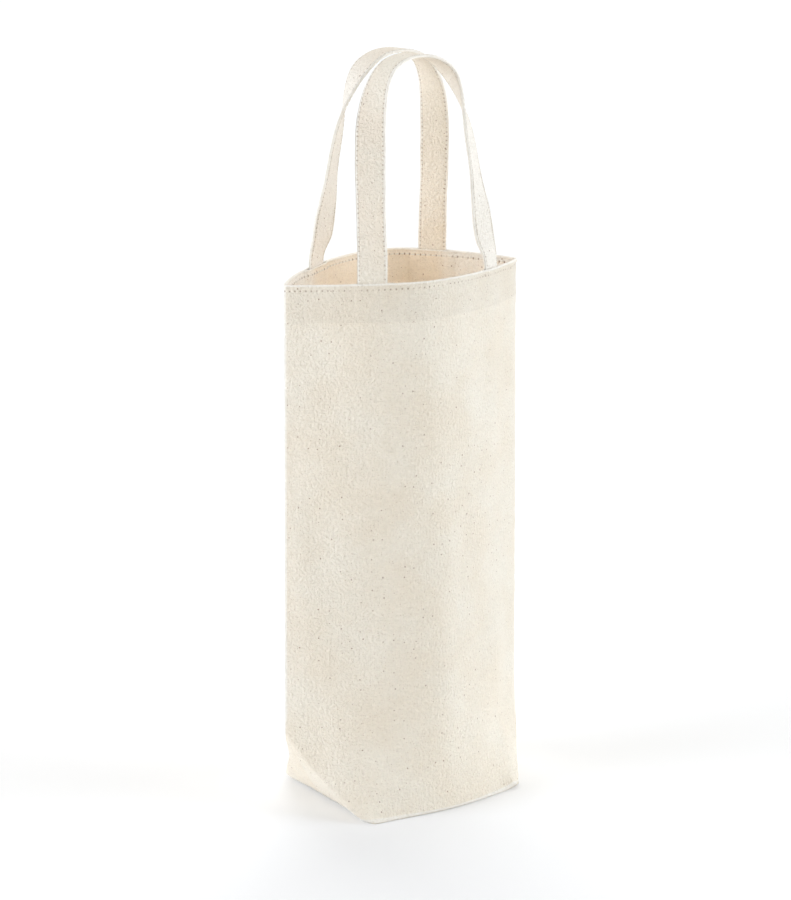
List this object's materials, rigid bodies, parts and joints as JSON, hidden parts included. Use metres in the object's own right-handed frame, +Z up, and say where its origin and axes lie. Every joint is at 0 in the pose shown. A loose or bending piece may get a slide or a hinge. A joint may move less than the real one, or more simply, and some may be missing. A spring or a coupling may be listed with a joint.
{
  "type": "bottle carrier bag",
  "caption": "Tall open canvas bottle bag standing on a boxed base, with a lined mouth and short flat carrying straps looped from its front and back edges.",
  "frame": {"origin": "middle of the base, on the surface that the bag stands on", "axes": "+X to the right side seam, -Y to the front, +Z up"},
  "size_m": [0.165, 0.1074, 0.4349],
  "materials": {
    "canvas": "natural unbleached cotton canvas with small seed flecks, matte",
    "canvas_lining": "inner face of the same natural canvas, matte",
    "strap": "natural cotton canvas folded in layers, matte",
    "thread": "natural cotton sewing thread, slight sheen"
  },
  "bodies": {
    "bag": {"front_panel": "canvas", "back_panel": "canvas", "front_facing": "canvas_lining", "back_facing": "canvas_lining", "left_side_seam": "canvas_lining", "right_side_seam": "canvas_lining", "bottom_seam": "canvas_lining", "left_corner_seam": "canvas_lining", "right_corner_seam": "canvas_lining", "front_left_handle_end": "strap", "front_right_handle_end": "strap", "back_left_handle_end": "strap", "back_right_handle_end": "strap", "front_mouth_stitching": "thread", "back_mouth_stitching": "thread"},
    "front_loop": {"front_handle": "strap", "front_handle_stitching": "thread"},
    "back_loop": {"back_handle": "strap", "back_handle_stitching": "thread"}
  },
  "joints": [
    {"name": "front_handle_swing", "type": "hinge", "parent": "bag", "child": "front_loop", "pos_m": [-0.00263, -0.04164, 0.3139], "axis": [0.9964, 0.0844, 0], "range_deg": [-3, 165]},
    {"name": "back_handle_swing", "type": "hinge", "parent": "bag", "child": "back_loop", "pos_m": [0.00263, 0.04164, 0.3139], "axis": [-0.9964, -0.0844, 0], "range_deg": [-3, 165]}
  ]
}
